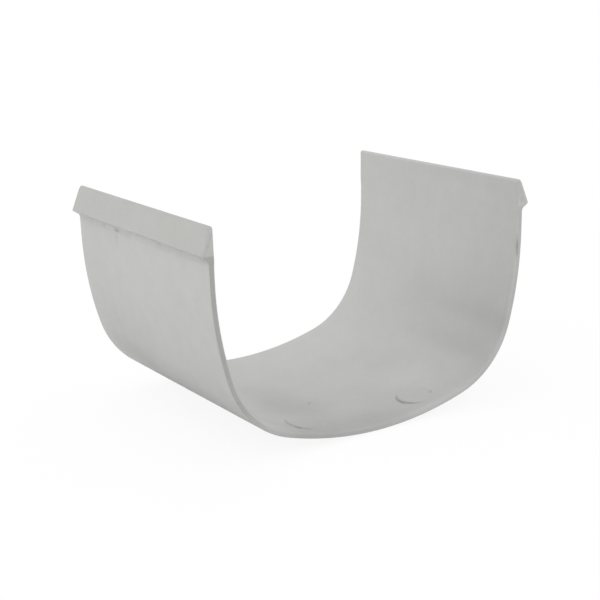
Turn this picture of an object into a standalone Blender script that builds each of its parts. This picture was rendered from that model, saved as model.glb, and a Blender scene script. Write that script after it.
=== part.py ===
"""Gutter union: a short open trough that joins two lengths of deep rain gutter end to end.

One moulding. Its section is a five-centre curve (flat bottom arc, two corner arcs, two side arcs)
carried up into drafted walls, and each wall ends in a lip folded outwards over a narrow crease.
Metres, +Z up. X runs across the gutter, Y along its run. The origin is at the middle of the underside.
"""

import math

import bmesh
import bpy

# Trough
LENGTH = 0.112
CLEAR_WIDTH = 0.145
CLEAR_DEPTH = 0.0908
WALL = 0.0028
BOTTOM_RADIUS = 0.142
CORNER_RADIUS = 0.036
SIDE_RADIUS = 0.1395
STRAIGHT = 0.021
WALL_DRAFT = math.radians(0.9)

# Folded lips
CREST_RADIUS = 0.001
LIP_SLANT = math.radians(22.3)
LIP_FACE = 0.0101
LIP_THICKNESS = 0.00165
NOSE_RADIUS = 0.0004
UNDERSIDE_SLOPE = math.radians(34)
UNDERSIDE_FILLET = 0.002
CREASE_WIDTH = 0.0002
CREASE_WALL = 0.0009

# Edges of both ends
END_ARRIS = 0.0003
END_ARRIS_STEPS = 2

# Marks of the two ejector pins, in the trough's bottom near the front end
PIN_RADIUS = 0.008
PIN_DEPTH = 0.0003
PIN_SPREAD = 0.0555
PIN_INSET = 0.0126
PIN_SIDES = 48

# Facets of each arc
BOTTOM_FACETS = 17
CORNER_FACETS = 12
SIDE_FACETS = 5
CREST_FACETS = 8
NOSE_FACETS = 5
ROOT_FACETS = 4
FILLET_FACETS = 4

SMOOTH_BELOW = math.radians(32)
PLASTIC_COLOUR = (0.50, 0.50, 0.49, 1.0)
PLASTIC_ROUGHNESS = 0.42


def clear_scene():
    """Remove every object of the open scene."""
    for old in list(bpy.data.objects):
        bpy.data.objects.remove(old, do_unlink=True)


def facing(angle):
    """Unit direction in the section, turned by angle from straight down towards +X."""
    return math.sin(angle), -math.cos(angle)


def shifted(point, direction, distance):
    """The point moved by distance along a direction of the section."""
    return point[0] + distance * direction[0], point[1] + distance * direction[1]


def arc(centre, radius, angles):
    """Points at the given angles of a circle in the section."""
    return [shifted(centre, facing(angle), radius) for angle in angles]


def steps(start, end, count):
    """Evenly spaced angles from start to end, count spaces, both ends included."""
    return [start + (end - start) * k / count for k in range(count + 1)]


def line(point, normal):
    """A straight line of the section in normal form: the points p with p . normal = offset."""
    return normal, point[0] * normal[0] + point[1] * normal[1]


def crossing(first, second):
    """Where two lines in normal form meet."""
    (a, b), c = first
    (d, e), f = second
    scale = a * e - b * d
    return (c * e - b * f) / scale, (a * f - c * d) / scale


def corner_centre(bottom_centre, side_centre):
    """Centre of the corner arc, which touches the bottom arc and the side arc from inside."""
    from_bottom = BOTTOM_RADIUS - CORNER_RADIUS
    from_side = SIDE_RADIUS - CORNER_RADIUS
    across = side_centre[0] - bottom_centre[0]
    up = side_centre[1] - bottom_centre[1]
    apart = math.hypot(across, up)
    along = (from_bottom**2 - from_side**2 + apart**2) / (2 * apart)
    aside = math.sqrt(from_bottom**2 - along**2)
    middle = shifted(bottom_centre, (across / apart, up / apart), along)
    return max(shifted(middle, (up / apart, -across / apart), side * aside) for side in (-1, 1))


def trough_half():
    """Right half of the trough as (centre, radius, angles) of its inner arcs, bottom to top."""
    wall_faces = math.pi / 2 - WALL_DRAFT
    wall_runs = (math.sin(WALL_DRAFT), math.cos(WALL_DRAFT))
    wall_top = (CLEAR_WIDTH / 2, CLEAR_DEPTH - CREST_RADIUS)
    wall_foot = shifted(wall_top, wall_runs, -STRAIGHT)
    side_centre = shifted(wall_foot, facing(wall_faces), -SIDE_RADIUS)
    bottom_centre = (0.0, BOTTOM_RADIUS)
    corner = corner_centre(bottom_centre, side_centre)
    corner_starts = math.atan2(corner[0], bottom_centre[1] - corner[1])
    corner_ends = math.atan2(corner[0] - side_centre[0], side_centre[1] - corner[1])

    # The middle facet of the bottom lies across the centre line, so the underside has a true flat
    half_facet = corner_starts / BOTTOM_FACETS
    bottom_angles = [half_facet * k for k in range(1, BOTTOM_FACETS + 1, 2)]
    return wall_top, [
        (bottom_centre, BOTTOM_RADIUS, bottom_angles),
        (corner, CORNER_RADIUS, steps(corner_starts, corner_ends, CORNER_FACETS)[1:]),
        (side_centre, SIDE_RADIUS, steps(corner_ends, wall_faces, SIDE_FACETS)[1:]),
    ]


def trough_curve(arcs, thickness):
    """Points of the trough's inner curve pushed outwards by thickness, bottom to top."""
    return [point for centre, radius, angles in arcs for point in arc(centre, radius + thickness, angles)]


def lip(wall_top):
    """Right lip's outline from the wall's inner top, over the crest and nose, to the wall's outer face."""
    wall_faces = math.pi / 2 - WALL_DRAFT
    wall_out = facing(wall_faces)
    lip_faces = math.pi / 2 + LIP_SLANT
    lip_out = facing(lip_faces)
    lip_down = facing(LIP_SLANT)
    crest_centre = shifted(wall_top, wall_out, CREST_RADIUS)
    crest = arc(crest_centre, CREST_RADIUS, steps(1.5 * math.pi - WALL_DRAFT, lip_faces, CREST_FACETS))

    face_end = shifted(crest[-1], lip_down, LIP_FACE)
    nose_centre = shifted(face_end, lip_out, -NOSE_RADIUS)
    nose = arc(nose_centre, NOSE_RADIUS, steps(lip_faces, UNDERSIDE_SLOPE, NOSE_FACETS))

    # The crease is a slit parallel to the lip's face, closed by a half round at its root
    root_radius = CREASE_WIDTH / 2
    underside = line(nose[-1], facing(UNDERSIDE_SLOPE))
    lip_back = line(shifted(crest[-1], lip_out, -LIP_THICKNESS), lip_out)
    crease_middle = line(shifted(crest[-1], lip_out, -LIP_THICKNESS - root_radius), lip_out)
    crease_back = line(shifted(crest[-1], lip_out, -LIP_THICKNESS - CREASE_WIDTH), lip_out)
    root_depth = line(shifted(wall_top, wall_out, CREASE_WALL + root_radius), wall_out)
    root = arc(crossing(crease_middle, root_depth), root_radius, steps(lip_faces, lip_faces + math.pi, ROOT_FACETS))
    mouth_at_lip = crossing(underside, lip_back)
    mouth_at_wall = crossing(underside, crease_back)

    # A hollow fillet leads from the underside into the wall's outer face
    below = line(shifted(nose[-1], facing(UNDERSIDE_SLOPE), UNDERSIDE_FILLET), facing(UNDERSIDE_SLOPE))
    beside = line(shifted(wall_top, wall_out, WALL + UNDERSIDE_FILLET), wall_out)
    fillet_angles = steps(UNDERSIDE_SLOPE - math.pi, wall_faces - math.pi, FILLET_FACETS)
    fillet = arc(crossing(below, beside), UNDERSIDE_FILLET, fillet_angles)
    return crest + nose + [mouth_at_lip] + root + [mouth_at_wall] + fillet


def section():
    """Whole outline in X and Z, closed, with the underside at Z = 0."""
    wall_top, arcs = trough_half()
    half = trough_curve(arcs, 0.0) + lip(wall_top) + trough_curve(arcs, WALL)[::-1]
    low = min(z for _, z in half)
    right = [(x, z - low) for x, z in half]
    left = [(-x, z) for x, z in reversed(right)]
    return right + left


def add_trough(material):
    """Sweep the section along the run and round the arrises of both ends."""
    mesh = bpy.data.meshes.new("gutter_union")
    build = bmesh.new()
    ring = [build.verts.new((x, -LENGTH / 2, z)) for x, z in section()]
    front = build.faces.new(ring)
    swept = bmesh.ops.extrude_face_region(build, geom=[front])["geom"]
    far = [item for item in swept if isinstance(item, bmesh.types.BMVert)]
    bmesh.ops.translate(build, verts=far, vec=(0.0, LENGTH, 0.0))
    ends = [face for face in build.faces if len(face.verts) > 4]
    rims = list({edge for face in ends for edge in face.edges})
    bmesh.ops.bevel(
        build, geom=rims, offset=END_ARRIS, segments=END_ARRIS_STEPS, profile=0.5, affect="EDGES", clamp_overlap=False
    )
    bmesh.ops.recalc_face_normals(build, faces=build.faces)
    build.to_mesh(mesh)
    build.free()
    mesh.materials.append(material)
    trough = bpy.data.objects.new("gutter_union", mesh)
    bpy.context.collection.objects.link(trough)
    return trough


def add_pin_cutter(side):
    """Cylinder that presses one pin's mark square to the bottom arc; side is -1 or 1."""
    lean = math.asin(PIN_SPREAD / 2 / BOTTOM_RADIUS)
    reach = 4 * PIN_RADIUS
    x, z = shifted((0.0, BOTTOM_RADIUS + WALL), facing(lean), BOTTOM_RADIUS + PIN_DEPTH - reach / 2)
    mesh = bpy.data.meshes.new("pin_cutter")
    build = bmesh.new()
    bmesh.ops.create_cone(
        build, cap_ends=True, segments=PIN_SIDES, radius1=PIN_RADIUS, radius2=PIN_RADIUS, depth=reach
    )
    build.to_mesh(mesh)
    build.free()
    cutter = bpy.data.objects.new("pin_cutter", mesh)
    cutter.location = (side * x, PIN_INSET - LENGTH / 2, z)
    cutter.rotation_euler = (0.0, -side * lean, 0.0)
    cutter.hide_render = True
    cutter.display_type = "WIRE"
    bpy.context.collection.objects.link(cutter)
    return cutter


def press_pin_marks(trough):
    """Cut both pin marks, a shallow round each, mirrored about the centre line."""
    for side in (-1, 1):
        cut = trough.modifiers.new("pin_mark", "BOOLEAN")
        cut.operation = "DIFFERENCE"
        cut.solver = "EXACT"
        cut.object = add_pin_cutter(side)


def plastic():
    """Plain light grey moulded plastic, between matt and satin."""
    material = bpy.data.materials.new("light_grey_plastic")
    material.use_nodes = True
    shader = material.node_tree.nodes["Principled BSDF"]
    shader.inputs["Base Color"].default_value = PLASTIC_COLOUR
    shader.inputs["Roughness"].default_value = PLASTIC_ROUGHNESS
    shader.inputs["Metallic"].default_value = 0.0
    return material


def main():
    """Build the union."""
    clear_scene()
    trough = add_trough(plastic())
    trough.data.shade_smooth()
    trough.data.set_sharp_from_angle(angle=SMOOTH_BELOW)
    press_pin_marks(trough)


main()
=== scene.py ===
"""Looks of a gutter union, a short open trough of light grey moulded plastic.

Each wall ends in a folded lip. The trough is one surface: its section's outline is carried along the run.
X is across, Y along and Z up, in metres. The finishes measure in millimetres.
"""

from __future__ import annotations

import logging
import math
from collections.abc import Iterable
from dataclasses import dataclass, field
from enum import Enum
from functools import reduce
from typing import NamedTuple, Union

import bpy
import numpy as np
from mathutils import Matrix, Vector


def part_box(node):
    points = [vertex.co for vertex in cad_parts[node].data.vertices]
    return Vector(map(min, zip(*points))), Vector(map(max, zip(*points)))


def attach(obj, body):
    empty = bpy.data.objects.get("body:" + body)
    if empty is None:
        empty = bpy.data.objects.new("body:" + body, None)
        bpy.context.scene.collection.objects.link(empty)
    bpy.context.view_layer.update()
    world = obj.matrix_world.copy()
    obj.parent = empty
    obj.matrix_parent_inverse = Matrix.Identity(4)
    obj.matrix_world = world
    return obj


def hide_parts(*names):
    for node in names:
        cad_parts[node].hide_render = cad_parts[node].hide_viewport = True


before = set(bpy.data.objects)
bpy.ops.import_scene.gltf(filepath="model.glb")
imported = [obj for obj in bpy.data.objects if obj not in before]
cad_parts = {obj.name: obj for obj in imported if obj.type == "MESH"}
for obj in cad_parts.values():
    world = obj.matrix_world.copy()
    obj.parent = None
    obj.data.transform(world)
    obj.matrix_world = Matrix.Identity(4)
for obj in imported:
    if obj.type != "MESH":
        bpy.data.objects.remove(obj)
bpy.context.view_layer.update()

LOG = logging.getLogger("gutter_union")
NODE = "gutter_union"
MM = 0.001
LEAST_SPACES = 2
WHITE = (1.0, 1.0, 1.0, 1.0)

# A radius in millimetres that is so long that a spot runs on past both ends
FAR = 1000.0

Pair = tuple[float, float]
Triple = tuple[float, float, float]
Socket = bpy.types.NodeSocket
Value = Union[float, Triple, tuple[float, float, float, float], Socket]


class Trace(NamedTuple):
    """A stretch of the outline as arrays.

    The points are (n, 2) and so are the unit normals that leave the plastic. The breaks (n) say how deep
    the arris goes into the plastic there, at the front and back of the trough.
    """

    points: np.ndarray
    normals: np.ndarray
    breaks: np.ndarray


def facing(angle: float | np.ndarray) -> np.ndarray:
    """Unit direction in the section, turned by the angle from straight down towards +X: (sin a, -cos a)."""
    return np.stack([np.sin(angle), -np.cos(angle)], axis=-1)


def spaces(length: float, spacing: float) -> int:
    """How many even spaces of about that spacing fill a length, and two at least."""
    return max(LEAST_SPACES, round(length / spacing))


def joined(traces: list[Trace]) -> Trace:
    """One trace of several that follow each other, with the shared ends kept once.

    Args:
        traces: Stretches in order, each beginning where the one before it ends.

    Returns:
        The whole stretch.
    """
    kept = [traces[0]] + [Trace(*(part[1:] for part in trace)) for trace in traces[1:]]
    return Trace(*(np.concatenate(parts) for parts in zip(*kept)))


def both_halves(right: Trace) -> Trace:
    """The right half of a side with its mirror image before it.

    Args:
        right: The stretch from the middle of the bottom on.

    Returns:
        The whole side, from the left to the right, with the middle kept once.
    """
    mirror = np.array([-1.0, 1.0])
    left = Trace(right.points[:0:-1] * mirror, right.normals[:0:-1] * mirror, right.breaks[:0:-1])
    return Trace(*(np.concatenate(parts) for parts in zip(left, right)))


def round_run(centre: np.ndarray, radius: float, angles: np.ndarray, breaks: Pair) -> Trace:
    """A round stretch, centre + radius * facing(angle), walked with the plastic on the right.

    Args:
        centre: Centre of the circle.
        radius: Its radius.
        angles: Angles in order. Where they grow the stretch is hollow, and where they fall it is full.
        breaks: Arris at the first and last point, with an even change between them.

    Returns:
        The stretch, with normals to the centre where it is hollow and away from it where it is full.
    """
    out = facing(angles)
    hollow = angles[-1] > angles[0]
    return Trace(centre + radius * out, -out if hollow else out, np.linspace(*breaks, len(angles)))


def straight_run(start: np.ndarray, end: np.ndarray, count: int, breaks: Pair, late: float = 1.0) -> Trace:
    """A straight stretch, start + t * (end - start), walked with the plastic on the right.

    Args:
        start: First point.
        end: Last point.
        count: How many even spaces.
        breaks: Arris at the first and last point, first + t ** late * (last - first) between them.
        late: 1 for an even change of the arris, more for one near the end, less for one near the start.

    Returns:
        The stretch, with the normal on the left of the way.
    """
    way = end - start
    left = np.array([-way[1], way[0]]) / np.hypot(*way)
    shares = np.linspace(0.0, 1.0, count + 1)
    first, last = breaks
    points = start + shares[:, None] * way
    return Trace(points, np.tile(left, (count + 1, 1)), first + shares**late * (last - first))


@dataclass(frozen=True)
class Line:
    """A straight line of the section in normal form: the points p with p . normal = offset."""

    normal: np.ndarray
    offset: float

    @classmethod
    def through(cls, point: np.ndarray, normal: np.ndarray) -> Line:
        """The line through a point with that normal."""
        return cls(normal, float(point @ normal))

    def moved(self, distance: float) -> Line:
        """The parallel line at a distance along the normal."""
        return Line(self.normal, self.offset + distance)

    def meets(self, other: Line) -> np.ndarray:
        """Where this line crosses another: the solution of both normal forms."""
        return np.linalg.solve(np.stack([self.normal, other.normal]), np.array([self.offset, other.offset]))


@dataclass(frozen=True)
class Lip:
    """Sizes of the lip that folds outwards over a narrow crease, the same on both walls."""

    crest_radius: float = 1.0 * MM
    slant: float = math.radians(22.3)
    face: float = 10.1 * MM
    thickness: float = 1.65 * MM
    nose_radius: float = 0.4 * MM
    underside_slope: float = math.radians(34)
    crease_width: float = 0.05 * MM
    crease_wall: float = 0.9 * MM
    mouth_radius: float = 0.12 * MM
    underside_fillet: float = 2.0 * MM

    @property
    def faces(self) -> float:
        """Angle that the lip's outer face looks in."""
        return math.pi / 2 + self.slant

    @property
    def out(self) -> np.ndarray:
        """Normal of the lip's outer face."""
        return facing(self.faces)

    @property
    def under_out(self) -> np.ndarray:
        """Normal of the lip's underside."""
        return facing(self.underside_slope)


@dataclass(frozen=True)
class Fold:
    """Points between the stretches of the right lip, and the centres of its rounds."""

    crest_centre: np.ndarray
    crest_end: np.ndarray
    face_end: np.ndarray
    nose_centre: np.ndarray
    nose_end: np.ndarray
    tip: np.ndarray
    mouth_at_lip: np.ndarray
    root: np.ndarray
    mouth_at_wall: np.ndarray
    fillet_centre: np.ndarray
    wall_ends: np.ndarray
    opposite: np.ndarray


@dataclass(frozen=True)
class PinMark:
    """The shallow round that an ejector pin leaves in the bottom, one on each side of the middle."""

    radius: float = 8.0 * MM
    depth: float = 0.05 * MM
    spread: float = 55.5 * MM
    inset: float = 12.6 * MM
    edge: float = 1.4 * MM

    @property
    def reach(self) -> float:
        """How far from its middle the mark still needs close points."""
        return self.radius + self.edge


@dataclass(frozen=True)
class Arris:
    """How deep the edges of both ends are rounded off, each by the face that the edge bounds.

    The fade says how suddenly one depth turns into another. The stretch says how much further an arris goes
    along the run than it is deep.
    """

    inside: float = 1.2 * MM
    outside: float = 0.4 * MM
    crest: float = 0.85 * MM
    nose: float = 0.35 * MM
    mouth: float = 0.1 * MM
    crease: float = 0.015 * MM
    fade: float = 4.0
    stretch: float = 1.6

    def reach(self, breaks: float | np.ndarray) -> float | np.ndarray:
        """How far an arris goes along the run, which is further than it goes into the plastic."""
        return self.stretch * breaks


@dataclass(frozen=True)
class Section:
    """Sizes of the trough's section, and the two sides of its right half.

    Both sides go from the middle of the bottom to the lip's tip, where they meet.
    """

    clear_width: float = 145 * MM
    clear_depth: float = 90.8 * MM
    wall: float = 2.8 * MM
    bottom_radius: float = 142 * MM
    corner_radius: float = 36 * MM
    side_radius: float = 139.5 * MM
    straight: float = 21 * MM
    draft: float = math.radians(0.9)
    lip: Lip = field(default_factory=Lip)
    pin: PinMark = field(default_factory=PinMark)
    arris: Arris = field(default_factory=Arris)
    step: float = 1.6 * MM
    fine_step: float = 0.45 * MM
    round_steps: int = 14
    fillet_steps: int = 6
    lip_steps: int = 31

    @property
    def straight_steps(self) -> int:
        """How many spaces a straight stretch has."""
        return round(self.straight / self.step)

    @property
    def wall_faces(self) -> float:
        """Angle that the right wall's outer face looks in."""
        return math.pi / 2 - self.draft

    @property
    def wall_out(self) -> np.ndarray:
        """Normal of the right wall's outer face."""
        return facing(self.wall_faces)

    @property
    def wall_up(self) -> np.ndarray:
        """Direction up the right wall."""
        return np.array([math.sin(self.draft), math.cos(self.draft)])

    @property
    def wall_top(self) -> np.ndarray:
        """Top of the right wall's inner face, where the crest begins."""
        return np.array([self.clear_width / 2, self.clear_depth - self.lip.crest_radius])

    @property
    def wall_foot(self) -> np.ndarray:
        """Foot of the straight part of the right wall's inner face."""
        return self.wall_top - self.straight * self.wall_up

    def centres(self) -> tuple[np.ndarray, np.ndarray, np.ndarray]:
        """Centres of the bottom, corner and side arcs.

        The corner circle touches the bottom circle and the side circle from inside. Its centre therefore
        lies at bottom radius less corner radius from the one centre, and at side radius less corner radius
        from the other.

        Returns:
            The three centres.
        """
        bottom = np.array([0.0, self.bottom_radius])
        side = self.wall_foot - self.side_radius * self.wall_out
        near = self.bottom_radius - self.corner_radius
        far = self.side_radius - self.corner_radius
        apart = side - bottom
        distance = float(np.hypot(*apart))
        along = (near**2 - far**2 + distance**2) / (2 * distance)
        aside = math.sqrt(near**2 - along**2) * np.array([apart[1], -apart[0]]) / distance
        middle = bottom + along * apart / distance
        corner = middle + aside if aside[0] > 0 else middle - aside
        return bottom, corner, side

    def even(self, start: float, end: float, radius: float, spacing: float) -> np.ndarray:
        """Angles from start to end whose points lie about one spacing apart on a circle of that radius."""
        return np.linspace(start, end, spaces((end - start) * radius, spacing) + 1)

    def bottom_angles(self, end: float) -> np.ndarray:
        """Angles along the bottom arc, close together where a pin mark lies.

        Args:
            end: The last angle. The first is 0, in the middle.

        Returns:
            The angles in order.
        """
        radius = self.bottom_radius
        middle = self.pin.spread / 2
        near, far = (math.asin((middle + side * self.pin.reach) / radius) for side in (-1, 1))
        parts = [
            self.even(0.0, near, radius, self.step),
            self.even(near, far, radius, self.fine_step)[1:],
            self.even(far, end, radius, self.step)[1:],
        ]
        return np.concatenate(parts)

    def arcs(self) -> list[tuple[np.ndarray, float, np.ndarray]]:
        """The right half's three arcs.

        Returns:
            Centre, inner radius and angles of each, bottom to top.
        """
        bottom, corner, side = self.centres()
        corner_starts = math.atan2(corner[0], bottom[1] - corner[1])
        corner_ends = math.atan2(corner[0] - side[0], side[1] - corner[1])
        corner_angles = self.even(corner_starts, corner_ends, self.corner_radius, self.step)
        side_angles = self.even(corner_ends, self.wall_faces, self.side_radius, self.step)
        return [
            (bottom, self.bottom_radius, self.bottom_angles(corner_starts)),
            (corner, self.corner_radius, corner_angles),
            (side, self.side_radius, side_angles),
        ]

    def fold(self) -> Fold:
        """Find the lip's points from the wall's top outwards.

        Returns:
            The points and centres.
        """
        lip = self.lip
        crest_centre = self.wall_top + lip.crest_radius * self.wall_out
        crest_end = crest_centre + lip.crest_radius * lip.out
        face_end = crest_end + lip.face * facing(lip.slant)
        nose_centre = face_end - lip.nose_radius * lip.out
        nose_end = nose_centre + lip.nose_radius * lip.under_out

        # The crease is a slit parallel to the lip's face, closed by a half round at its root
        root_radius = lip.crease_width / 2
        underside = Line.through(nose_end, lip.under_out)
        lip_back = Line.through(crest_end - lip.thickness * lip.out, -lip.out)
        crease_back = Line.through(crest_end - (lip.thickness + lip.crease_width) * lip.out, lip.out)
        inner_face = Line.through(self.wall_top, self.wall_out)
        root = lip_back.moved(root_radius).meets(inner_face.moved(lip.crease_wall + root_radius))

        # The mouth's two corners are rounded, and a hollow fillet leads from the underside to the wall
        small, hollow = lip.mouth_radius, lip.underside_fillet
        mouth_at_lip = lip_back.moved(-small).meets(underside.moved(-small))
        mouth_at_wall = crease_back.moved(-small).meets(underside.moved(-small))
        fillet_centre = inner_face.moved(self.wall).moved(hollow).meets(underside.moved(hollow))
        tip = mouth_at_lip + small * lip.under_out
        wall_ends = fillet_centre - hollow * self.wall_out
        opposite = wall_ends - self.wall * self.wall_out
        return Fold(
            crest_centre, crest_end, face_end, nose_centre, nose_end, tip,
            mouth_at_lip, root, mouth_at_wall, fillet_centre, wall_ends, opposite,
        )

    def inner(self) -> Trace:
        """The inner side: up the wall, over the crest, down the lip's face and round the nose to the tip.

        Behind the lip its arris is no deeper than on the crest, because the crease comes close there.

        Returns:
            The side.
        """
        lip, arris, fold = self.lip, self.arris, self.fold()
        inside = (arris.inside, arris.inside)
        crest = (arris.crest, arris.crest)
        crest_turn = np.linspace(math.pi + self.wall_faces, lip.faces, self.round_steps + 1)
        nose_turn = np.linspace(lip.faces, lip.underside_slope, self.round_steps + 1)
        wall_breaks = (arris.inside, arris.crest)
        face_breaks = (arris.crest, arris.nose)
        runs = [round_run(centre, radius, angles, inside) for centre, radius, angles in self.arcs()]
        runs += [
            straight_run(self.wall_foot, fold.opposite, self.straight_steps, wall_breaks, arris.fade),
            straight_run(fold.opposite, self.wall_top, self.lip_steps, crest),
            round_run(fold.crest_centre, lip.crest_radius, crest_turn, crest),
            straight_run(fold.crest_end, fold.face_end, self.straight_steps, face_breaks, 1 / arris.fade),
            round_run(fold.nose_centre, lip.nose_radius, nose_turn, (arris.nose, arris.nose)),
            straight_run(fold.nose_end, fold.tip, self.fillet_steps, (arris.nose, arris.mouth)),
        ]
        return joined(runs)

    def outer(self) -> Trace:
        """The outer side: up the wall, out under the lip, up and down the crease and round to the same tip.

        It is walked from the tip down, with the plastic on the right, and turned round at the end.

        Returns:
            The side.
        """
        lip, arris, fold = self.lip, self.arris, self.fold()
        small, root_radius, hollow = lip.mouth_radius, lip.crease_width / 2, lip.underside_fillet
        slope, straight, few = lip.underside_slope, self.straight_steps, self.fillet_steps
        slit = (arris.crease, arris.crease)
        outside = (arris.outside, arris.outside)
        lip_turn = np.linspace(slope, lip.faces - math.pi, few + self.round_steps + 1)
        root_turn = np.linspace(lip.faces, lip.faces + math.pi, self.round_steps + 1)
        wall_turn = np.linspace(lip.faces, slope, few + 1)
        fillet_turn = np.linspace(slope - math.pi, self.wall_faces - math.pi, few + 1)
        slit_starts = fold.mouth_at_lip - small * lip.out
        slit_ends = fold.mouth_at_wall + small * lip.out
        under_starts = fold.mouth_at_wall + small * lip.under_out
        under_ends = fold.fillet_centre - hollow * lip.under_out
        runs = [
            round_run(fold.mouth_at_lip, small, lip_turn, (arris.mouth, arris.crease)),
            straight_run(slit_starts, fold.root + root_radius * lip.out, straight, slit),
            round_run(fold.root, root_radius, root_turn, slit),
            straight_run(fold.root - root_radius * lip.out, slit_ends, straight, slit),
            round_run(fold.mouth_at_wall, small, wall_turn, (arris.crease, arris.mouth)),
            straight_run(under_starts, under_ends, few, (arris.mouth, arris.nose)),
            round_run(fold.fillet_centre, hollow, fillet_turn, (arris.nose, arris.outside)),
            straight_run(fold.wall_ends, self.wall_foot + self.wall * self.wall_out, straight, outside),
        ]
        for centre, radius, angles in self.arcs()[::-1]:
            runs.append(round_run(centre, radius + self.wall, angles[::-1], outside))
        return Trace(*(part[::-1] for part in joined(runs)))


@dataclass
class Trough:
    """The moulded trough with its lips, one closed surface that stands for the CAD node.

    The rim is the width of the narrow flat row round each end. Pin marks are pressed only into what lies
    lower than pins_below on the inner side.
    """

    section: Section = field(default_factory=Section)
    length: float = 112 * MM
    arris_steps: int = 5
    step: float = 2.4 * MM
    rim: float = 0.01 * MM
    pins_below: float = 22.7 * MM

    def stations(self) -> np.ndarray:
        """Places along Y between the two arrises, close together where the pin marks lie.

        Returns:
            The places, front to back.
        """
        half = self.length / 2
        pin = self.section.pin
        rounded = self.section.arris.reach(self.section.arris.inside)
        first, last = (-half + pin.inset + side * pin.reach for side in (-1, 1))
        spans = (
            (-half + rounded, first, self.step),
            (first, last, self.section.fine_step),
            (last, half - rounded, self.step),
        )
        runs = [np.linspace(start, end, spaces(end - start, step) + 1)[:-1] for start, end, step in spans]
        return np.concatenate(runs)[1:]

    def loop(self) -> tuple[Trace, int]:
        """The whole closed outline, fitted to the solid's box.

        The solid's facets leave that box a few hundredths of a millimetre smaller than the true curves.

        Returns:
            The outline, which is the inner side from the left tip to the right one and then the outer side
            back, and how many points the inner side has.
        """
        inner = both_halves(self.section.inner())
        outer = both_halves(self.section.outer())
        sides = zip(inner, outer)
        points, normals, breaks = (np.concatenate([over, under[-2:0:-1]]) for over, under in sides)
        low, high = (np.array([corner.x, corner.z]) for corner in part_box(NODE))
        share = (high - low) / np.ptp(points, axis=0)
        return Trace(low + (points - points.min(axis=0)) * share, normals, breaks), len(inner.points)

    def pressed(self, across: np.ndarray, along: np.ndarray) -> np.ndarray:
        """How deep the pin marks are pressed at points of the inner bottom.

        A mark's floor is flat, so over the hollow bottom it lies depth + u * u / (2 * bottom radius) deep,
        u being the distance from its middle across the gutter. A smooth step, t * t * (3 - 2 * t) over the
        width of the edge, leads down to it.

        Args:
            across: X of each point.
            along: Y of each point.

        Returns:
            The depth below the plain bottom.
        """
        pin = self.section.pin
        u = np.abs(across) - pin.spread / 2
        v = along + self.length / 2 - pin.inset
        inside = np.clip((pin.radius - np.hypot(u, v)) / pin.edge + 0.5, 0.0, 1.0)
        step = inside * inside * (3 - 2 * inside)
        return step * (pin.depth + u * u / (2 * self.section.bottom_radius))

    def surface(self) -> tuple[np.ndarray, list[list[int]]]:
        """Points and faces of the closed surface.

        The side is a grid: point (m, k) is outline point k at station m. At the ends an arris rounds it: at
        the arris's angle a the point is drawn in by depth * (1 - sin a) along its normal, and lies
        reach * (1 - cos a) short of the end. One more row, drawn in by the rim as well, lies in the end's
        plane, and inside it each end is a single flat face.

        Returns:
            The points (n, 3) and the faces as lists of indices, facing outwards.
        """
        outline, width = self.loop()
        turn = np.linspace(0.0, math.pi / 2, self.arris_steps + 1)[:, None]
        rounded = outline.breaks * (1 - np.sin(turn))
        reached = self.section.arris.reach(outline.breaks) * (1 - np.cos(turn))
        drawn = np.concatenate([rounded[:1] + self.rim, rounded])
        short = np.concatenate([reached[:1], reached])

        stations = self.stations()[:, None]
        middle = np.broadcast_to(stations, (len(stations), len(outline.points)))
        half = self.length / 2
        along = np.concatenate([short - half, middle, half - short[::-1]])
        inwards = np.concatenate([drawn, np.zeros_like(middle), drawn[::-1]])
        flat = outline.points - inwards[..., None] * outline.normals
        with_pins = (np.arange(len(outline.points)) < width) & (outline.points[:, 1] < self.pins_below)
        depth = np.where(with_pins, self.pressed(flat[..., 0], along), 0.0)
        flat -= depth[..., None] * outline.normals
        grid = np.stack([flat[..., 0], along, flat[..., 1]], axis=-1)

        index = np.arange(along.size).reshape(along.shape)
        nearer, further = index[:-1], index[1:]
        side = np.stack([nearer, np.roll(nearer, -1, 1), np.roll(further, -1, 1), further], axis=-1)
        ends = [index[0, ::-1].tolist(), index[-1].tolist()]
        return grid.reshape(-1, 3), side.reshape(-1, 4).tolist() + ends

    def build(self) -> bpy.types.Object:
        """Make the mesh object, smooth shaded, at the origin.

        Returns:
            The object.
        """
        points, faces = self.surface()
        mesh = bpy.data.meshes.new("union_trough")
        mesh.from_pydata(points.tolist(), [], faces)
        mesh.validate()
        mesh.shade_smooth()
        trough = bpy.data.objects.new("union_trough", mesh)
        bpy.context.scene.collection.objects.link(trough)
        triangles = sum(len(face) - 2 for face in faces)
        LOG.info("%s: %d points, %d triangles", trough.name, len(points), triangles)
        return trough


class Axis(Enum):
    """Which measure of a place a finish goes by."""

    ACROSS = "X"
    ALONG = "Y"
    UP = "Z"
    ASIDE = "distance from the middle, across"


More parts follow.
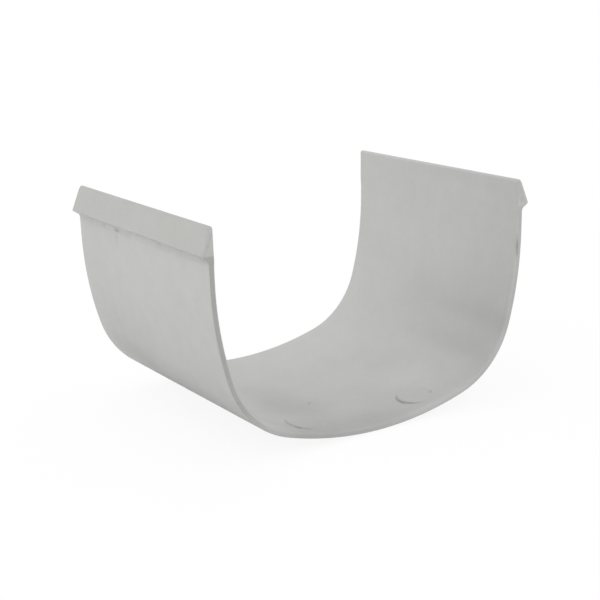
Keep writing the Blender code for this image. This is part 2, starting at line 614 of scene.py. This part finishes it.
@dataclass
class Sheet:
    """A material's nodes, added one at a time."""

    material: bpy.types.Material

    @classmethod
    def named(cls, name: str) -> Sheet:
        """Start a new material without nodes.

        Args:
            name: Its name.

        Returns:
            The sheet.
        """
        material = bpy.data.materials.new(name)
        material.use_nodes = True
        material.node_tree.nodes.clear()
        return cls(material)

    def add(
        self,
        kind: str,
        inputs: dict[str | int, Value] | None = None,
        output: str | int = 0,
        **settings: object,
    ) -> Socket:
        """Add a node.

        Args:
            kind: The node's type, without ShaderNode.
            inputs: What goes into each input, a value or another node's output.
            output: Which output to hand back.
            settings: The node's own properties.

        Returns:
            The output.
        """
        node = self.material.node_tree.nodes.new("ShaderNode" + kind)
        for name, value in settings.items():
            setattr(node, name, value)
        for key, value in (inputs or {}).items():
            if isinstance(value, Socket):
                self.material.node_tree.links.new(value, node.inputs[key])
            else:
                node.inputs[key].default_value = value
        return node.outputs[output]

    def surface(self, shader: Socket) -> None:
        """Send a shader to the material's output."""
        end = self.material.node_tree.nodes.new("ShaderNodeOutputMaterial")
        self.material.node_tree.links.new(shader, end.inputs["Surface"])

    def place(self) -> Socket:
        """The point of the surface in the part's own coordinates, in millimetres."""
        return self.scaled(self.add("TexCoord", output="Object"), (1 / MM, 1 / MM, 1 / MM))

    def scaled(self, vector: Socket, factors: Triple) -> Socket:
        """A vector with each of its parts times a factor."""
        return self.add("VectorMath", {0: vector, 1: factors}, operation="MULTIPLY")

    def measure(self, place: Socket, axis: Axis) -> Socket:
        """One measure of a place.

        Args:
            place: The point.
            axis: Which measure.

        Returns:
            The measure.
        """
        parts = self.add("SeparateXYZ", {0: place}).node.outputs
        if axis is Axis.ASIDE:
            return self.math("ABSOLUTE", parts["X"])
        return parts[axis.value]

    def math(self, operation: str, first: Value, second: Value = 0.0) -> Socket:
        """One sum on two values."""
        return self.add("Math", {0: first, 1: second}, operation=operation)

    def gathered(self, operation: str, values: Iterable[Value]) -> Socket:
        """All values taken together by one operation, in order."""
        return reduce(lambda first, second: self.math(operation, first, second), values)

    def product(self, *factors: Value) -> Socket:
        """All factors multiplied."""
        return self.gathered("MULTIPLY", factors)

    def step(self, value: Value, start: float, end: float) -> Socket:
        """A smooth step of a value, 0 at start and 1 at end. Start may be the higher of the two."""
        limits = {"Value": value, "From Min": start, "From Max": end}
        return self.add("MapRange", limits, interpolation_type="SMOOTHSTEP")

    def between(self, value: Value, low: float, high: float) -> Socket:
        """A value from 0 to 1 spread evenly from low to high."""
        return self.add("MapRange", {"Value": value, "To Min": low, "To Max": high})

    def distance(self, place: Socket, centre: Triple, radii: Triple) -> Socket:
        """Distance of a place from a centre, measured in the radii, so it is 1 on their ellipsoid.

        Args:
            place: The point.
            centre: Middle of the ellipsoid.
            radii: Its radii along X, Y and Z.

        Returns:
            The distance.
        """
        away = self.add("VectorMath", {0: place, 1: centre}, operation="SUBTRACT")
        shares = self.scaled(away, tuple(1 / radius for radius in radii))
        return self.add("VectorMath", {0: shares}, "Value", operation="LENGTH")

    def blend(self, share: Socket, first: Value, second: Value) -> Socket:
        """A colour that goes from the first to the second.

        Args:
            share: How far it goes, from 0 to 1.
            first: Colour at 0, three parts or another node's output.
            second: Colour at 1, given the same way.

        Returns:
            The colour.
        """
        inputs = {"Factor": share}
        for name, colour in (("A", first), ("B", second)):
            inputs[name] = colour if isinstance(colour, Socket) else (*colour, 1.0)
        return self.add("Mix", inputs, "Result", data_type="RGBA")


@dataclass(frozen=True)
class Cloud:
    """Soft cloudy noise whose blots are about size millimetres, and longer where a squash is below 1."""

    size: float
    detail: float = 2.0
    roughness: float = 0.5
    squash: Triple = (1.0, 1.0, 1.0)

    def value(self, sheet: Sheet, place: Socket) -> Socket:
        """The noise at a place.

        Args:
            sheet: The sheet that the node goes on.
            place: The point.

        Returns:
            The noise, from 0 to 1.
        """
        inputs = {"Vector": sheet.scaled(place, self.squash), "Scale": 1 / self.size}
        inputs |= {"Detail": self.detail, "Roughness": self.roughness}
        return sheet.add("TexNoise", inputs, output="Fac")


@dataclass(frozen=True)
class Ramp:
    """A smooth step along one measure, 0 at start and 1 at end, in millimetres."""

    axis: Axis
    start: float
    end: float

    def value(self, sheet: Sheet, place: Socket) -> Socket:
        """The step at the place."""
        return sheet.step(sheet.measure(place, self.axis), self.start, self.end)


@dataclass(frozen=True)
class Patch:
    """A part of the surface that ramps bound, all together."""

    ramps: tuple[Ramp, ...]
    strength: float = 1.0

    def mask(self, sheet: Sheet, place: Socket) -> Socket:
        """Strength at the place, whole where every ramp is up."""
        return sheet.product(*(ramp.value(sheet, place) for ramp in self.ramps), self.strength)


@dataclass(frozen=True)
class SoftSpot:
    """A soft ellipsoid spot of dirt, painted shade or painted light, in part coordinates, in millimetres.
    """

    centre: Triple
    radii: Triple
    strength: float
    core: float = 0.1

    def mask(self, sheet: Sheet, place: Socket) -> Socket:
        """Strength at the place: whole within the core's share of the radii, then fading to the rim."""
        away = sheet.distance(place, self.centre, self.radii)
        return sheet.product(sheet.step(away, 1.0, self.core), self.strength)


@dataclass(frozen=True)
class Crescent:
    """Painted shadow and dirt inside one side of a pin mark's rim, in millimetres.

    It is the part of the mark's round that a second round leaves free. The second is shifted away from the
    facing angle, so the darkening tapers to nothing at both ends. Rim and free are the shares of the
    radius, in the first and the second round, where the darkening begins and where it is whole.
    """

    centre: Pair
    facing: float
    shift: float
    strength: float
    radius: float = 8.0
    rim: Pair = (1.07, 0.95)
    free: Pair = (1.23, 1.46)

    def mask(self, sheet: Sheet, place: Socket) -> Socket:
        """Strength of the painted shadow and dirt.

        Args:
            sheet: The material's nodes.
            place: The point in millimetres.

        Returns:
            The strength at the place.
        """
        x, y = self.centre
        radii = (self.radius, self.radius, FAR)
        moved_x = x - self.shift * math.cos(self.facing)
        moved_y = y - self.shift * math.sin(self.facing)
        within = sheet.step(sheet.distance(place, (x, y, 0.0), radii), *self.rim)
        free = sheet.step(sheet.distance(place, (moved_x, moved_y, 0.0), radii), *self.free)
        return sheet.product(within, free, self.strength)


@dataclass(frozen=True)
class MouldedPlastic:
    """Light grey plastic between matt and satin, as moulded and handled, with light and shade painted in.
    """

    colour: Triple = (0.50, 0.50, 0.494)
    # Dark colour of the dirt, also used for the painted shade
    dirt_and_shade_colour: Triple = (0.105, 0.10, 0.08)
    lip_tint: Triple = (0.855, 0.855, 0.835)
    clouds: Cloud = Cloud(9.0, 5.0, 0.6)
    cloud_tones: Pair = (0.93, 1.05)
    speckle: Cloud = Cloud(1.3, 3.0)
    speckle_tones: Pair = (0.965, 1.035)
    sheen: Cloud = Cloud(14.0, 4.0, 0.6)
    roughness: Pair = (0.38, 0.54)
    darkened_roughness: float = 0.3
    specular: float = 0.36
    grain: Cloud = Cloud(0.35)
    swell: Cloud = Cloud(5.0)
    swell_share: float = 2.0
    bump_strength: float = 0.25
    bump_height: float = 0.02 * MM
    patchiness: Cloud = Cloud(2.5, 3.0, 0.6)
    end_darkening_patchiness: Pair = (0.85, 1.15)
    spot_patchiness: Pair = (0.6, 1.4)
    # Painted shade and dirt: a broken darker band on the wall just under the left lip, along its whole
    # length
    under_lip_shade_and_dirt: SoftSpot = SoftSpot((-75.6, 0.0, 80.0), (2.4, FAR, 1.8), 0.12, core=0.3)
    under_lip_breakup: Cloud = Cloud(6.0, 3.0, 0.6, squash=(0.2, 1.0, 0.2))
    under_lip_breaks: Pair = (0.15, 0.75)
    # The front end is made darker: under the left lip on the left wall, fading along the bottom, and on the
    # right wall
    front_end: Ramp = Ramp(Axis.ALONG, -55.80, -55.99)
    end_darkening: tuple[Patch, ...] = (
        Patch((Ramp(Axis.ACROSS, -44.0, -68.0), Ramp(Axis.UP, 83.1, 82.3)), 0.25),
        Patch((Ramp(Axis.ACROSS, 5.0, -60.0),), 0.10),
        Patch((Ramp(Axis.ACROSS, 50.0, 66.0), Ramp(Axis.UP, 22.0, 46.0), Ramp(Axis.UP, 83.0, 81.5)), 0.15),
    )
    lip_faces: Patch = Patch(
        (Ramp(Axis.ASIDE, 73.2, 73.8), Ramp(Axis.UP, 83.0, 83.7), Ramp(Axis.ALONG, -56.0, -55.5))
    )
    dark_spots: tuple[SoftSpot, ...] = (
        # Dirt spots on the wall under the left lip
        SoftSpot((-75.1, 19.4, 80.2), (2.0, 4.4, 1.7), 0.38),
        SoftSpot((-75.1, 20.4, 77.0), (2.0, 2.6, 4.5), 0.10),
        SoftSpot((-75.1, 31.4, 80.6), (1.8, 3.4, 1.4), 0.20),
        SoftSpot((-75.1, -18.5, 80.7), (1.8, 3.4, 1.3), 0.20),
        # Darker under the left lip at its front end, on the wall and on the end face
        SoftSpot((-75.3, -52.5, 80.9), (2.0, 6.5, 2.1), 0.20),
        SoftSpot((-75.2, -56.0, 81.0), (2.8, 2.4, 2.4), 0.28),
        # Painted shade and dirt at the crease ends on the front faces of both lips
        SoftSpot((-75.1, -56.0, 86.2), (1.5, 1.0, 1.8), 0.20),
        SoftSpot((73.2, -56.0, 88.1), (1.8, 1.0, 2.2), 0.06),
        SoftSpot((74.5, -56.0, 85.3), (1.5, 1.0, 2.0), 0.16),
        # Dirt: a streak on the right wall's front end, and specks on the bottom
        SoftSpot((72.7, -56.0, 64.8), (0.9, 1.5, 7.0), 0.48),
        SoftSpot((-10.5, -20.4, 3.1), (1.3, 1.3, 1.5), 0.26),
        SoftSpot((-9.2, -18.9, 3.1), (1.3, 1.3, 1.5), 0.26),
        SoftSpot((34.0, -46.1, 6.8), (1.3, 1.3, 1.8), 0.20),
        SoftSpot((33.3, -47.0, 6.5), (1.2, 1.2, 1.8), 0.24),
        # Painted shadow and dirt along the front-left rims of the pin marks, with the crescents
        SoftSpot((-34.8, -49.7, 7.2), (3.0, 3.4, 3.0), 0.48),
        SoftSpot((-36.3, -46.2, 7.5), (2.2, 4.4, 3.0), 0.26),
        SoftSpot((-31.8, -51.4, 6.4), (3.6, 3.0, 3.0), 0.20),
        SoftSpot((20.6, -45.2, 4.3), (2.4, 3.6, 3.0), 0.30),
    )
    # Painted light and shade: soft areas made lighter or darker as the light falls, such as the left wall's
    # shadow in the right corner, a darker front of the bottom, and lighter just under the left lip and on
    # its end
    painted_light_and_shade: tuple[SoftSpot, ...] = (
        SoftSpot((72.0, -8.0, 64.0), (22.0, 55.0, 30.0), 0.066),
        SoftSpot((73.0, -58.0, 90.0), (16.0, 32.0, 20.0), -0.050),
        SoftSpot((60.0, -54.0, 18.0), (26.0, 42.0, 28.0), -0.062),
        SoftSpot((66.0, -50.0, 33.5), (6.0, 52.0, 7.5), -0.045),
        SoftSpot((58.3, -35.0, 20.0), (7.0, 52.0, 7.0), -0.045),
        SoftSpot((66.0, -56.0, 38.0), (14.0, 36.0, 24.0), -0.043),
        SoftSpot((-70.0, 30.0, 33.0), (20.0, 50.0, 22.0), -0.058),
        SoftSpot((12.0, 18.0, 3.0), (42.0, 44.0, 15.0), 0.017),
        SoftSpot((36.0, -26.0, 7.0), (20.0, 20.0, 12.0), 0.079),
        SoftSpot((-22.0, -24.0, 5.0), (28.0, 24.0, 14.0), -0.150),
        SoftSpot((-20.0, -2.0, 4.0), (18.0, 20.0, 10.0), -0.090),
        SoftSpot((-12.0, -56.0, 3.0), (52.0, 26.0, 15.0), -0.155),
        SoftSpot((-75.0, 50.0, 66.0), (18.0, 48.0, 44.0), -0.038),
        SoftSpot((72.0, 40.0, 70.0), (18.0, 24.0, 20.0), 0.040),
        SoftSpot((65.0, 0.0, 32.0), (14.0, 40.0, 14.0), -0.023),
        SoftSpot((73.0, -20.0, 94.0), (10.0, 60.0, 9.0), -0.045),
        SoftSpot((-66.0, 28.0, 23.0), (14.0, 34.0, 12.0), -0.088),
        SoftSpot((56.0, 30.0, 20.0), (24.0, 34.0, 30.0), -0.028),
        SoftSpot((24.0, -10.0, 5.0), (24.0, 22.0, 10.0), 0.030),
        SoftSpot((-32.0, -54.0, 7.0), (24.0, 20.0, 12.0), -0.078),
        SoftSpot((-43.0, -38.0, 10.5), (15.0, 24.0, 12.0), -0.050),
        SoftSpot((50.0, -56.0, 13.0), (16.0, 12.0, 12.0), -0.050),
        SoftSpot((-75.8, 0.0, 81.6), (3.0, FAR, 1.1), 0.040),
        SoftSpot((34.0, -56.0, 4.0), (12.0, 9.0, 8.0), -0.045),
        SoftSpot((-77.5, -56.0, 86.0), (3.0, 1.0, 7.0), 0.060),
    )
    # Painted shadow and dirt inside the front-left rims of the two pin marks
    crescents: tuple[Crescent, ...] = (
        Crescent((-28.4, -44.7), math.radians(198), 4.3, 0.44),
        Crescent((27.75, -43.4), math.radians(193), 4.5, 0.50),
    )

    def dirt_and_painted_shade(self, sheet: Sheet, place: Socket) -> Socket:
        """How much dirt and painted shade lie at the place, 0 to 1.

        Besides the single spots there is a broken band of dirt and painted shade under the left lip, and
        the
        front end is made darker: on the left wall, fading along the bottom, and on the right wall.

        Args:
            sheet: The material's nodes.
            place: The point in millimetres.

        Returns:
            The share of dirt and painted shade.
        """
        patchy = self.patchiness.value(sheet, place)
        # Painted shade and dirt under the left lip, broken up by noise
        broken = sheet.step(self.under_lip_breakup.value(sheet, place), *self.under_lip_breaks)
        under_lip_shade_and_dirt = sheet.product(self.under_lip_shade_and_dirt.mask(sheet, place), broken)
        # The front end made darker, unevenly
        end_darkening = sheet.gathered("ADD", [patch.mask(sheet, place) for patch in self.end_darkening])
        uneven = sheet.between(patchy, *self.end_darkening_patchiness)
        end_darkening = sheet.product(self.front_end.value(sheet, place), end_darkening, uneven)
        # Dirt spots, painted shade at the crease ends, darker patches under the left lip's end, and painted
        # shadow with dirt in the pin marks
        masks = [spot.mask(sheet, place) for spot in (*self.dark_spots, *self.crescents)]
        spots = [sheet.product(mask, sheet.between(patchy, *self.spot_patchiness)) for mask in masks]
        return sheet.gathered("MAXIMUM", [under_lip_shade_and_dirt, end_darkening, *spots])

    def tone_and_painted_light(self, sheet: Sheet, place: Socket) -> Socket:
        """How light the plastic looks: broad painted light and shade, cloudy mottling and a fine speckle.

        Args:
            sheet: The material's nodes.
            place: The point in millimetres.

        Returns:
            The factor on the plastic's colour.
        """
        # Painted light and shade in broad soft areas, added to one
        painted_light_and_shade = sheet.gathered("ADD", [shade.mask(sheet, place) for shade in self.painted_light_and_shade])
        clouds = sheet.between(self.clouds.value(sheet, place), *self.cloud_tones)
        speckle = sheet.between(self.speckle.value(sheet, place), *self.speckle_tones)
        return sheet.product(sheet.math("ADD", painted_light_and_shade, 1.0), clouds, speckle)

    def tinted_lips(self, sheet: Sheet, place: Socket) -> Socket:
        """Tint of the lips' outer faces, darker and a little warmer, and white elsewhere."""
        return sheet.blend(self.lip_faces.mask(sheet, place), WHITE[:3], self.lip_tint)

    def material(self) -> bpy.types.Material:
        """Build the finish: mottled plastic, painted light and shade, its sheen and grain, and dirt on top.

        Returns:
            The material.
        """
        sheet = Sheet.named("light_grey_plastic")
        place = sheet.place()
        # Dirt and painted shade, 0 to 1, blended in the dark colour
        darkened = sheet.add("Clamp", {"Value": self.dirt_and_painted_shade(sheet, place)})
        # Factor on the plastic's colour, with the painted light and shade in it
        tone_and_painted_light = self.tone_and_painted_light(sheet, place)
        plain = sheet.add("VectorMath", {0: self.colour, "Scale": tone_and_painted_light}, operation="SCALE")
        clean = sheet.add("VectorMath", {0: plain, 1: self.tinted_lips(sheet, place)}, operation="MULTIPLY")
        mixed = sheet.blend(darkened, clean, self.dirt_and_shade_colour)
        sheen = sheet.between(self.sheen.value(sheet, place), *self.roughness)
        roughness = sheet.math("ADD", sheen, sheet.product(darkened, self.darkened_roughness))
        swell = sheet.product(self.swell.value(sheet, place), self.swell_share)
        height = {"Height": sheet.math("ADD", self.grain.value(sheet, place), swell)}
        height |= {"Strength": self.bump_strength, "Distance": self.bump_height}
        bump = sheet.add("Bump", height, "Normal")
        inputs = {"Base Color": mixed, "Roughness": roughness, "Normal": bump}
        inputs |= {"Specular IOR Level": self.specular}
        sheet.surface(sheet.add("BsdfPrincipled", inputs, "BSDF"))
        return sheet.material


@dataclass(frozen=True)
class PaleGround:
    """The plain white floor.

    What the camera sees of it is mostly its own white, so only a soft shadow is left. A sheen mirrors that
    white too, except near the object, where the floor lies in its shadow.
    """

    bounce: float = 0.80
    kept_shadow: float = 0.10
    shadow_reach: Pair = (0.12, 0.40)

    def material(self) -> bpy.types.Material:
        """Build the finish.

        Returns:
            The material.
        """
        sheet = Sheet.named("pale_ground")
        plain = sheet.add("BsdfDiffuse", {"Color": (self.bounce, self.bounce, self.bounce, 1.0)})
        white = sheet.add("BsdfDiffuse", {"Color": WHITE})
        glow = sheet.add("Emission", {"Color": WHITE, "Strength": 1.0})
        place = sheet.add("TexCoord", output="Object")
        away = sheet.add("VectorMath", {0: place}, "Value", operation="LENGTH")
        whole, gone = self.shadow_reach
        near = sheet.step(away, gone, whole)
        rays = sheet.add("LightPath").node.outputs
        mirrored = sheet.product(rays["Is Glossy Ray"], sheet.math("SUBTRACT", 1.0, near))
        seen = sheet.math("MAXIMUM", rays["Is Camera Ray"], mirrored)
        shown = sheet.add("MixShader", {0: sheet.product(near, self.kept_shadow), 1: glow, 2: white})
        sheet.surface(sheet.add("MixShader", {0: seen, 1: plain, 2: shown}))
        return sheet.material


@dataclass(frozen=True)
class Lamp:
    """A square soft light that looks at the middle of the object."""

    name: str
    place: Triple
    size: float
    watts: float
    target: Triple = (0.0, 0.0, 0.045)

    def build(self) -> bpy.types.Object:
        """Make the light.

        Returns:
            The light's object.
        """
        light = bpy.data.lights.new(self.name, "AREA")
        light.shape = "SQUARE"
        light.size = self.size
        light.energy = self.watts
        lamp = bpy.data.objects.new(self.name, light)
        lamp.location = self.place
        aim = Vector(self.target) - Vector(self.place)
        lamp.rotation_euler = aim.to_track_quat("-Z", "Y").to_euler()
        bpy.context.scene.collection.objects.link(lamp)
        return lamp


@dataclass
class Studio:
    """The floor, the lamps and the even light from all round."""

    ambient: float = 0.85
    floor_size: float = 12.0
    floor_gap: float = 0.2 * MM
    lamps: tuple[Lamp, ...] = (
        Lamp("low_left", (-1.6, 0.7, 0.4), 0.6, 4.3),
        Lamp("low_back_left", (-1.25, 1.25, 0.35), 0.6, 2.2),
        Lamp("high_back", (0.0, 1.0, 1.5), 1.0, 3.2),
        Lamp("front", (0.0, -1.8, 0.7), 1.0, 2.3),
        Lamp("high_left", (-1.0, -0.1, 1.5), 1.0, 1.1),
        Lamp("low_front", (0.5, -1.8, 0.06), 0.5, 5.5),
    )

    def build(self) -> None:
        """Make the floor, lamps and world."""
        reach = self.floor_size / 2
        mesh = bpy.data.meshes.new("floor")
        corners = [(-reach, -reach), (reach, -reach), (reach, reach), (-reach, reach)]
        mesh.from_pydata([(x, y, -self.floor_gap) for x, y in corners], [], [(0, 1, 2, 3)])
        mesh.materials.append(PaleGround().material())
        floor = bpy.data.objects.new("floor", mesh)
        bpy.context.scene.collection.objects.link(floor)
        for lamp in self.lamps:
            lamp.build()
        self.surround()
        LOG.info("studio: floor and %d lamps", len(self.lamps))

    def surround(self) -> None:
        """Set the world: white where it is seen or mirrored, and the even light elsewhere."""
        world = bpy.data.worlds.new("white_surround")
        world.use_nodes = True
        nodes, links = world.node_tree.nodes, world.node_tree.links
        nodes.clear()
        path = nodes.new("ShaderNodeLightPath")
        seen = nodes.new("ShaderNodeMath")
        seen.operation = "MAXIMUM"
        links.new(path.outputs["Is Camera Ray"], seen.inputs[0])
        links.new(path.outputs["Is Glossy Ray"], seen.inputs[1])
        light = nodes.new("ShaderNodeMix")
        light.inputs["A"].default_value = self.ambient
        light.inputs["B"].default_value = 1.0
        links.new(seen.outputs[0], light.inputs["Factor"])
        background = nodes.new("ShaderNodeBackground")
        background.inputs["Color"].default_value = WHITE
        links.new(light.outputs["Result"], background.inputs["Strength"])
        end = nodes.new("ShaderNodeOutputWorld")
        links.new(background.outputs[0], end.inputs["Surface"])
        bpy.context.scene.world = world


@dataclass(frozen=True)
class PhotoCamera:
    """The camera of the photograph, a picture of 600 by 600."""

    place: Triple = (-0.291869, -0.449933, 0.186331)
    yaw: float = 0.574802
    pitch: float = 0.2621
    roll: float = 0.025802
    focal_pixels: float = 1292.2169
    picture: float = 600.0
    sensor: float = 36.0
    clip: Pair = (0.01, 50.0)

    def build(self) -> bpy.types.Object:
        """Make the camera: turned by yaw from +Y to +X, tipped down by pitch and rolled about its axis.

        Returns:
            The camera's object.
        """
        ahead = math.cos(self.pitch)
        away = Vector((math.sin(self.yaw) * ahead, math.cos(self.yaw) * ahead, -math.sin(self.pitch)))
        level = Vector((math.cos(self.yaw), -math.sin(self.yaw), 0.0))
        below = away.cross(level)
        right = math.cos(self.roll) * level + math.sin(self.roll) * below
        down = -math.sin(self.roll) * level + math.cos(self.roll) * below
        data = bpy.data.cameras.new("photo_camera")
        data.sensor_width = self.sensor
        data.lens = self.focal_pixels * self.sensor / self.picture
        data.clip_start, data.clip_end = self.clip
        camera = bpy.data.objects.new("photo_camera", data)
        turn = Matrix((right, -down, -away)).transposed().to_4x4()
        camera.matrix_world = Matrix.Translation(Vector(self.place)) @ turn
        bpy.context.scene.collection.objects.link(camera)
        bpy.context.scene.camera = camera
        LOG.info("%s: lens %.1f mm", camera.name, data.lens)
        return camera


def main() -> None:
    """Build the trough, its finish, the studio and the camera."""
    logging.basicConfig(level=logging.INFO, format="%(message)s")
    trough = Trough().build()
    trough.data.materials.append(MouldedPlastic().material())
    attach(trough, "root")
    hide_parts(NODE)
    Studio().build()
    PhotoCamera().build()
    bpy.context.scene.view_settings.view_transform = "Standard"


if __name__ == "__main__":
    main()
